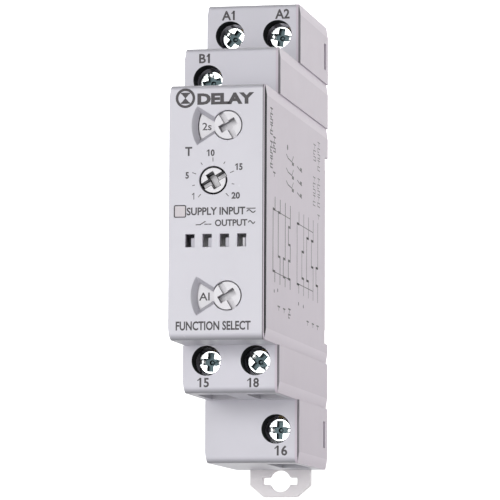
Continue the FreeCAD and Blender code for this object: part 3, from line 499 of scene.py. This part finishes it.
def make_materials():
    """One material for each of the record's slots."""
    looks = {
        "casing_plastic": casing_material(),
        "cover_plastic": cover_material(),
        "panel_plastic": panel_material(),
        "clip_plastic": translucent_white(),
        "spring_steel": bare_metal("spring_steel", (0.62, 0.62, 0.63), stretch=(1, 1, 4)).material,
        "dial_plastic": turned_plastic("dial_plastic", DIAL_WALL_SHADE, roughness=0.3),
        "trimmer_plastic": turned_plastic("trimmer_plastic", TRIMMER_WALL_SHADE, roughness=0.26),
        "switch_plastic": moulded("switch_plastic", (0.03, 0.03, 0.033), roughness=0.45).material,
        "lens_plastic": lens_material(),
        "led_resin": moulded("led_resin", (0.62, 0.10, 0.09), roughness=0.15, grain=0.02).material,
        "board_laminate": board_material(),
        "black_plastic": moulded("black_plastic", BLACK, roughness=0.5, grain=0.12).material,
        "capacitor_sleeve": moulded("capacitor_sleeve", (0.02, 0.022, 0.05), roughness=0.22).material,
        "film_case": moulded("film_case", (0.60, 0.46, 0.10), roughness=0.4).material,
        "varistor_coat": moulded("varistor_coat", (0.04, 0.12, 0.32), roughness=0.38, grain=0.2).material,
        "resistor_coat": moulded("resistor_coat", (0.14, 0.28, 0.45), roughness=0.35, grain=0.1).material,
        "relay_plastic": moulded("relay_plastic", (0.06, 0.06, 0.068), roughness=0.35).material,
        "copper_wire": winding_material(),
        "magnet_steel": bare_metal("magnet_steel", (0.56, 0.56, 0.57), roughness=0.35).material,
        "contact_brass": bare_metal("contact_brass", (0.78, 0.60, 0.30), stretch=(1, 1, 5)).material,
        "screw_zinc": screw_material(),
        "clamp_steel": bare_metal("clamp_steel", STEEL, roughness=0.34, stretch=(5, 1, 1)).material,
    }
    return looks


def dress_nodes(looks):
    """Give every CAD node its slot's material and softly rounded edges, whose widths are in mm."""
    widths = {
        "housing": 0.16,
        "side_cover": 0.07,
        "front_panel": 0.12,
        "rail_clip": 0.18,
        "range_dial": 0.07,
        "function_dial": 0.07,
        "trimmer_rotor": 0.1,
    }
    widths.update({f"terminal_screw_{name}": 0.1 for name in TERMINALS})
    for row in frame["record"]["subparts"]:
        item = frame["nodes"][row["node"]]
        item.data.materials.clear()
        item.data.materials.append(looks[row["material_slot"]])
        soften(item, widths.get(row["node"], 0.05) * MM)


def soften(item, width):
    """Weld the imported triangles, merge flat ones, and round the sharp edges."""
    weld = item.modifiers.new("weld", "WELD")
    weld.merge_threshold = 0.001 * MM
    flat = item.modifiers.new("flat", "DECIMATE")
    flat.decimate_type = "DISSOLVE"
    flat.angle_limit = math.radians(0.5)
    bevel = item.modifiers.new("edges", "BEVEL")
    bevel.width = width
    bevel.segments = 2
    bevel.limit_method = "ANGLE"
    bevel.angle_limit = math.radians(32)
    bevel.use_clamp_overlap = True
    bevel.harden_normals = False
    shade = item.modifiers.new("shade", "WEIGHTED_NORMAL")
    shade.weight = 60
    for face in item.data.polygons:
        face.use_smooth = True


# ---------------------------------------------------------------- printing


class Print:
    """Ink on one flat face. Shapes are drawn in mm across and up from an origin on the face."""

    def __init__(self, name, body, slot, origin, across, up):
        self.name, self.body, self.slot = name, body, slot
        self.across, self.up = Vector(across), Vector(up)
        self.out = self.across.cross(self.up)
        self.origin = origin + self.out * PRINT_LIFT
        self.shapes = bmesh.new()

    def patch(self, points):
        places = [self.origin + (self.across * x + self.up * z) * MM for x, z in points]
        face = self.shapes.faces.new([self.shapes.verts.new(place) for place in places])
        face.normal_update()
        if face.normal.dot(self.out) < 0:
            face.normal_flip()

    def line(self, points, width):
        """A line of even width through the points, with square ends."""
        for start, end in zip(points, points[1:]):
            along = (Vector(end) - Vector(start)).normalized() * width / 2
            side = Vector((-along.y, along.x))
            first, last = Vector(start) - along, Vector(end) + along
            self.patch([first - side, last - side, last + side, first + side])

    def arc(self, centre, radius, width, start=0, end=360, steps=32):
        """A ring, or the part of one between two angles in degrees."""
        for i in range(steps):
            turns = [math.radians(start + (end - start) * k / steps) for k in (i, i + 1)]
            rims = [(radius - width / 2, turns[0]), (radius + width / 2, turns[0])]
            rims += [(radius + width / 2, turns[1]), (radius - width / 2, turns[1])]
            self.patch([(centre[0] + r * math.cos(a), centre[1] + r * math.sin(a)) for r, a in rims])

    def dot(self, centre, radius):
        turns = [math.radians(a) for a in range(0, 360, 30)]
        self.patch([(centre[0] + radius * math.cos(a), centre[1] + radius * math.sin(a)) for a in turns])

    def words(self, text, middle, size, weight=WORD_WEIGHT, turn=0.0):
        """Lettering that fills a box of the given middle and size, turned about the origin in degrees."""
        corners, faces = glyphs(text, weight)
        low = [min(c[i] for c in corners) for i in (0, 1)]
        high = [max(c[i] for c in corners) for i in (0, 1)]
        spin = Matrix.Rotation(math.radians(turn), 2)
        placed = []
        for corner in corners:
            shares = [(corner[i] - low[i]) / (high[i] - low[i]) - 0.5 for i in (0, 1)]
            flat = [middle[i] + shares[i] * size[i] for i in (0, 1)]
            placed.append(spin @ Vector(flat))
        for face in faces:
            self.patch([placed[i] for i in face])

    def numbered(self, text, middle, size, weight):
        """Lettering whose 1, first or last, is a bare stem in the font and gets a flag."""
        wide, tall = size
        flag, stem = 0.24 * tall, 0.13 * tall
        left, top = middle[0] - wide / 2, middle[1] + tall / 2
        if text[0] == "1":
            self.words(text, (middle[0] + flag / 2, middle[1]), (wide - flag, tall), weight)
            start = left + flag
        else:
            self.words(text, middle, size, weight)
            start = left + wide - stem
        corner = (start + stem / 2, top - stem / 2)
        self.line([corner, (start + stem / 2 - flag, top - 0.27 * tall)], 0.9 * stem)

    def finish(self):
        mesh = bpy.data.meshes.new(self.name)
        bmesh.ops.remove_doubles(self.shapes, verts=self.shapes.verts, dist=0.0005 * MM)
        self.shapes.to_mesh(mesh)
        self.shapes.free()
        item = add_object(self.name, mesh)
        thick = item.modifiers.new("thick", "SOLIDIFY")
        thick.thickness = PRINT_THICK
        thick.offset = -1
        mesh.materials.append(ink_material())
        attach(item, self.body)


def glyphs(text, weight):
    """The corners and faces of some lettering in Blender's own font, flat in x and y."""
    curve = bpy.data.curves.new("lettering", "FONT")
    curve.body = text
    curve.resolution_u = 3
    curve.offset = weight
    item = add_object("lettering", curve)
    mesh = mesh_from(item)
    corners = [tuple(v.co[:2]) for v in mesh.vertices]
    faces = [tuple(face.vertices) for face in mesh.polygons]
    bpy.data.objects.remove(item)
    bpy.data.curves.remove(curve)
    bpy.data.meshes.remove(mesh)
    return corners, faces


def ink_material():
    """Dark pad-printed ink, a little uneven in its cover."""
    if "print_ink" in bpy.data.materials:
        return bpy.data.materials["print_ink"]
    look = Recipe("print_ink")
    cover = look.noise(0.5 * MM, 3)
    look.set(
        Base_Color=look.blend(cover, tinted(INK, 0.7), tinted(INK, 1.5)),
        Roughness=look.spread(look.noise(0.3 * MM, 2), 0.38, 0.55),
    )
    return look.material


def on_front(name, node, body, slot, centre_node, y=None):
    """A print on a face that looks to the front, with its origin over the middle of a node."""
    centre = middle(centre_node)
    origin = Vector((centre.x, face_y(node) if y is None else y, centre.z))
    return Print(name, body, slot, origin, (1, 0, 0), (0, 0, 1))


def print_terminal_marks():
    for name, (mark, offset, size, _) in TERMINALS.items():
        screw = f"terminal_screw_{name}"
        step = face_y(screw) - HEAD_RECESS
        ink = on_front(f"mark_{mark.lower()}", "housing", "case", "casing_plastic", screw, step)
        if "1" in mark:
            ink.numbered(mark, offset, size, MARK_WEIGHT)
        else:
            ink.words(mark, offset, size, MARK_WEIGHT)
        ink.finish()


def print_time_scale():
    """The name, nine ticks and five numbers round the trimmer."""
    ink = on_front("time_scale", "front_panel", "case", "panel_plastic", "trimmer_rotor")
    ink.words("T", (-4.43, 5.17), (1.27, 1.62))
    numbers = {
        "1": ((-3.60, -2.77), 0.42),
        "5": ((-4.68, 0.93), 0.62),
        "10": ((-0.49, 4.85), 1.45),
        "15": ((4.57, 2.28), 1.38),
        "20": ((4.05, -2.78), 1.52),
    }
    for text, (place, width) in numbers.items():
        letter = ink.numbered if "1" in text else ink.words
        letter(text, place, (width, 1.2), NUMBER_WEIGHT)
    for i in range(9):
        turn = math.radians(228 - 34.25 * i)
        reach = (3.35, 3.95) if i % 2 == 0 else (3.45, 3.80)
        ink.line([(r * math.cos(turn), r * math.sin(turn)) for r in reach], 0.13)
    ink.finish()


def print_front():
    """Pictogram and title at the top, two lines of plain labels in the middle and one at the bottom."""
    ink = on_front("panel_print", "front_panel", "case", "panel_plastic", "front_panel")
    print_title(ink)
    print_labels(ink)
    ink.words("FUNCTION SELECT", (-0.37, -20.07), (13.4, 1.62))
    ink.finish()


def print_title(ink):
    """An hourglass in a ring, and one word."""
    centre_x, centre_z = -5.57, 20.20
    ink.arc((centre_x, centre_z), 1.52, 0.47)
    half, tall = 0.70, 0.86
    for side in (-1, 1):
        corners = [(centre_x - half, centre_z + side * tall), (centre_x + half, centre_z + side * tall)]
        ink.line(corners, 0.26)
        ink.patch([*[(x, z - side * 0.1) for x, z in corners], (centre_x, centre_z - side * 0.05)])
    ink.words("DELAY", (1.68, 19.99), (10.2, 2.05), weight=TITLE_WEIGHT)


def print_labels(ink):
    """Two plain labels, the signs for direct and alternating current, and an open contact."""
    thin = 0.17
    ink.words("SUPPLY INPUT", (0.02, 0.10), (10.5, 1.40))
    ink.words("OUTPUT", (2.75, -2.0), (5.8, 1.20))
    # direct current over alternating current, then alternating current alone
    for start, height, width in ((5.58, -0.02, 1.45), (5.85, -1.95, 1.12)):
        wave = [(start + width * i / 8, height + 0.24 * math.sin(i * math.pi / 4)) for i in range(9)]
        ink.line(wave, thin)
    ink.line([(5.58, 0.48), (7.03, 0.48)], thin)
    # an open contact
    ink.line([(-3.5, -2.27), (-2.8, -2.27), (-1.9, -1.72)], thin)
    ink.line([(-1.95, -2.2), (-1.5, -2.2)], thin)
    ink.line([(-1.25, -2.2), (-0.85, -2.2)], thin)


def print_lens_frame():
    """A line with rounded corners round the lens."""
    ink = on_front("lens_frame", "front_panel", "case", "panel_plastic", "status_lens")
    low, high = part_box("status_lens")
    half = (high.x - low.x) / 2 / MM + 0.02
    round_off = 0.25
    flat = half - round_off
    for side in (-1, 1):
        ink.line([(-flat, side * half), (flat, side * half)], 0.2)
        ink.line([(side * half, -flat), (side * half, flat)], 0.2)
    for quarter, (x, z) in enumerate(((flat, flat), (-flat, flat), (-flat, -flat), (flat, -flat))):
        ink.arc((x, z), round_off, 0.2, 90 * quarter, 90 * quarter + 90, steps=5)
    ink.finish()


def print_dials():
    """Marks round each selector's disc, upright as they pass the window on its left."""
    sets = {
        "range": (["2s", "20s", "2m", "20m", "2h", "20h"], -4.0, (0.62, 1.35)),
        "function": (["AI", "BI", "DI", "EI", "AE", "BE", "DE", "FE"], -4.3, (0.74, 1.40)),
    }
    for kind, (marks, across, (letter_width, height)) in sets.items():
        step = 360 / len(marks)
        dial, body, switch = f"{kind}_dial", f"{kind}_selector", f"{kind}_switch_body"
        front = face_y(dial) + DISC_SET_BACK
        ink = on_front(f"{kind}_marks", dial, body, "dial_plastic", switch, front)
        for i, mark in enumerate(marks):
            width = 0.42 + letter_width * len(mark)
            ink.words(mark, (across, 0), (width, height), DIAL_WEIGHT, step * i)
        ink.finish()


# When each signal of the side's two timing charts is on: its column, and the heights in mm between which.
FIRST_CHART_PULSES = ((0, 2.1, -8.9), (1, 2.0, -5.9), (2, -5.8, -9.1), (3, 0.4, -2.8), (3, -5.7, -9.0))
SECOND_CHART_PULSES = ((0, 2.0, -9.1), (1, -2.7, -7.6), (2, 0.3, -7.6), (3, 0.3, -4.6), (4, -4.3, -7.6))


def chart(ink, start, pitch, pulses, width):
    """Upright signal lines that step forward while their signal is on, and two lines that link them."""
    top, bottom, step = 4.2, -10.6, 1.8
    columns = 1 + max(column for column, _, _ in pulses)
    for column in range(columns):
        base = start + pitch * column
        points = [(base, top)]
        for high, low in [pulse[1:] for pulse in pulses if pulse[0] == column]:
            points += [(base, high), (base - step, high), (base - step, low), (base, low)]
            for level in (high, low):
                ink.line([(base - step, level), (base, level)], 0.42)
        ink.line([*points, (base, bottom)], width)
    for level in (2.0, -9.0):
        ink.line([(start - step, level), (start + pitch * 3, level)], 0.14)


def contact_symbol(ink, across, up):
    """A coil's mark with a contact beside it."""
    lever = [(across, up + 0.5), (across + 1.5, up), (across + 5.2, up - 0.2), (across + 6.6, up + 0.9)]
    ink.line(lever, 0.2)
    ink.line([(across + 5.6, up - 0.5), (across + 6.8, up - 0.5)], 0.6)
    ink.line([(across + 10.5, up - 0.4), (across + 12.6, up - 0.7), (across + 15.0, up - 0.9)], 0.2)
    ink.line([(across + 13.6, up - 0.5), (across + 14.6, up - 0.5)], 0.5)


def strokes(ink, across, top, bottom, reach=1.9, thick=0.26):
    """A column of made-up letters lying on their sides, in words of five."""
    pitch = 0.52 * reach
    left, right = across - reach / 2, across + reach / 2
    for i in range(int((top - bottom) / pitch)):
        if i % 6 == 5:
            continue
        up, down = top - pitch * i, top - pitch * (i + 0.6)
        joint = (left, across, right)[(5 * i + 1) % 3]
        ink.line([(left, up), (right, up)], thick)
        ink.line([(joint, up), (joint, down)], thick)
        if i % 3:
            ink.line([(left, down), (across if i % 2 else right, down)], thick)


def print_side():
    """Two timing charts, three contact symbols and columns of made-up letters on the side cover.

    Across runs back from the front of the cover, and up from the middle of the rail seat.
    """
    low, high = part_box("side_cover")
    origin = Vector((high.x, low.y, 0))
    ink = Print("side_print", "case", "cover_plastic", origin, (0, 1, 0), (0, 0, 1))
    chart(ink, 8.0, 4.8, FIRST_CHART_PULSES, 0.42)
    chart(ink, 30.8, 4.75, SECOND_CHART_PULSES, 0.26)
    for up in (12.8, 10.3, 8.0):
        contact_symbol(ink, 18.5, up)
    ink.dot((19.5, 14.7), 0.5)
    columns = ((4.5, 19.7, 7.2), (7.2, 14.9, 11.7), (7.2, 8.6, 7.6))
    feet = ((11.8, -14.8, -16.6), (16.8, -14.8, -16.4), (21.8, -14.4, -17.1))
    far_feet = ((39.7, -15.1, -16.9), (45.0, -15.1, -16.9), (49.8, -15.1, -16.9))
    for across, top, bottom in columns + feet + far_feet:
        strokes(ink, across, top, bottom)
    for across, up in ((7.5, -12.4), (10.7, -12.0), (30.6, -12.6), (35.3, -12.7)):
        ink.dot((across, up), 0.35)
    for across, top, bottom in ((46.3, 18.7, 14.6), (50.6, 19.6, 4.2), (46.0, 12.5, 6.0)):
        strokes(ink, across, top, bottom, reach=2.2, thick=0.16)
    ink.finish()


# ---------------------------------------------------------------- small pieces


def make_spring():
    """The clip's coil spring, wound at its rest length. It stands for the CAD's rigid one.

    The real spring shortens as the clip slides, closing its turns.
    """
    low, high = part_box("clip_spring")
    radius = (high.x - low.x - SPRING_WIRE) / 2
    height = high.z - low.z - SPRING_WIRE
    curve = bpy.data.curves.new("spring_line", "CURVE")
    curve.dimensions = "3D"
    curve.bevel_depth = SPRING_WIRE / 2
    curve.use_fill_caps = True
    line = curve.splines.new("POLY")
    steps = SPRING_TURNS * STEPS_PER_TURN
    line.points.add(steps)
    middle_y = (low.y + high.y) / 2
    for i, point in enumerate(line.points):
        turn = 2 * math.pi * i / STEPS_PER_TURN
        rise = low.z + SPRING_WIRE / 2 + height * i / steps
        point.co = (radius * math.cos(turn), middle_y + radius * math.sin(turn), rise, 1)
    wound = add_object("spring_line", curve)
    mesh = mesh_from(wound)
    bpy.data.objects.remove(wound)
    spring = add_object("coil_spring", mesh)
    mesh.materials.clear()
    mesh.materials.append(bpy.data.materials["spring_steel"])
    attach(spring, "case")
    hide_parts("clip_spring")
    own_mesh(spring)


def make_slot_rib():
    """The upright rib inside the right-hand slot of the row under the trimmer, which the CAD leaves out."""
    panel = face_y("front_panel")
    slot_x, slot_z, slot_half_height = 4.37 * MM, -4.05 * MM, 1.14 * MM
    left, right = slot_x + 0.05 * MM, slot_x + 0.4 * MM
    bottom, top = slot_z - slot_half_height, slot_z + slot_half_height - 0.65 * MM
    front, back = panel + 0.9 * MM, panel + 1.5 * MM
    centre = ((left + right) / 2, (front + back) / 2, (bottom + top) / 2)
    shape = bmesh.new()
    bmesh.ops.create_cube(shape, size=1)
    bmesh.ops.scale(shape, vec=(right - left, back - front, top - bottom), verts=shape.verts)
    bmesh.ops.translate(shape, vec=centre, verts=shape.verts)
    mesh = bpy.data.meshes.new("slot_rib")
    shape.to_mesh(mesh)
    shape.free()
    rib = add_object("slot_rib", mesh)
    mesh.materials.append(bpy.data.materials["panel_plastic"])
    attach(rib, "case")


# ---------------------------------------------------------------- stage


def make_stage():
    bpy.ops.mesh.primitive_plane_add(size=FLOOR_SIDE, location=(0, 0, cad_bounds[0].z - FLOOR_DROP))
    floor = bpy.context.object
    floor.name = "floor"
    pale = Recipe("floor_paint")
    pale.set(Base_Color=FLOOR_PAINT, Roughness=0.8)
    floor.data.materials.append(pale.material)


def area_light(name, place, aim, size, power):
    """A lamp that the camera itself doesn't see."""
    lamp = bpy.data.lights.new(name, "AREA")
    lamp.shape = "RECTANGLE"
    lamp.size, lamp.size_y = size
    lamp.energy = power
    item = add_object(name, lamp)
    item.location = place
    item.rotation_euler = (aim - place).to_track_quat("-Z", "Y").to_euler()
    item.visible_camera = False


def make_world():
    """A backdrop that the camera sees as white, and that lights the object mostly from just above it."""
    world = bpy.data.worlds.new("studio")
    bpy.context.scene.world = world
    world.use_nodes = True
    tree = world.node_tree
    background = tree.nodes["Background"]
    direction = tree.nodes.new("ShaderNodeTexCoord").outputs["Generated"]
    split = tree.nodes.new("ShaderNodeSeparateXYZ")
    tree.links.new(direction, split.inputs[0])
    ramp = tree.nodes.new("ShaderNodeValToRGB")
    # the ramp runs from 0 to 1, and the height from -1 to 1
    tree.links.new(math_node(tree, "MULTIPLY_ADD", split.outputs["Z"], 0.5, 0.5), ramp.inputs[0])
    brightest = max(SKY.values())
    stops = ramp.color_ramp.elements
    for height, level in SKY.items():
        # the ramp starts with a stop at each end
        place = (height + 1) / 2
        stop = next((s for s in stops if s.position == place), None) or stops.new(place)
        stop.color = (*[level / brightest] * 3, 1)
    light = math_node(tree, "MULTIPLY", ramp.outputs["Color"], brightest)
    seen = tree.nodes.new("ShaderNodeLightPath").outputs["Is Camera Ray"]
    # the camera itself sees plain white
    strength = math_node(tree, "MAXIMUM", light, seen)
    tree.links.new(strength, background.inputs["Strength"])
    background.inputs["Color"].default_value = (1, 1, 1, 1)
    bpy.context.scene.view_settings.view_transform = "Standard"


def math_node(tree, operation, *values):
    node = tree.nodes.new("ShaderNodeMath")
    node.operation = operation
    for socket, value in zip(node.inputs, values):
        if isinstance(value, bpy.types.NodeSocket):
            tree.links.new(value, socket)
        else:
            socket.default_value = value
    return node.outputs[0]


def toward(azimuth, elevation):
    """The direction of a point round the object: azimuth 0 is straight in front and 90 is to the right."""
    turn, rise = math.radians(azimuth), math.radians(elevation)
    return Vector((math.sin(turn) * math.cos(rise), -math.cos(turn) * math.cos(rise), math.sin(rise)))


def make_lights():
    for name, (azimuth, elevation, distance, size, power) in LIGHTS.items():
        place = STAGE_MIDDLE + toward(azimuth, elevation) * distance
        area_light(name, place, STAGE_MIDDLE, size, power)


def make_camera():
    azimuth, elevation, roll = CAMERA_TURN
    back = toward(azimuth, elevation)
    turn, tilt = math.radians(azimuth), math.radians(roll)
    right = Vector((math.cos(turn), math.sin(turn), 0))
    up = back.cross(right)
    turned_right = right * math.cos(tilt) + up * math.sin(tilt)
    turned_up = up * math.cos(tilt) - right * math.sin(tilt)
    data = bpy.data.cameras.new("camera")
    data.lens = CAMERA_LENS
    data.sensor_width = 36
    data.clip_start, data.clip_end = 0.01, 10
    camera = add_object("camera", data)
    axes = Matrix((turned_right, turned_up, back)).transposed()
    camera.matrix_world = Matrix.Translation(CAMERA_AIM + back * CAMERA_DISTANCE) @ axes.to_4x4()
    bpy.context.scene.camera = camera


looks = make_materials()
dress_nodes(looks)
print_terminal_marks()
print_time_scale()
print_front()
print_lens_frame()
print_dials()
print_side()
make_spring()
make_slot_rib()
make_stage()
make_world()
make_lights()
make_camera()
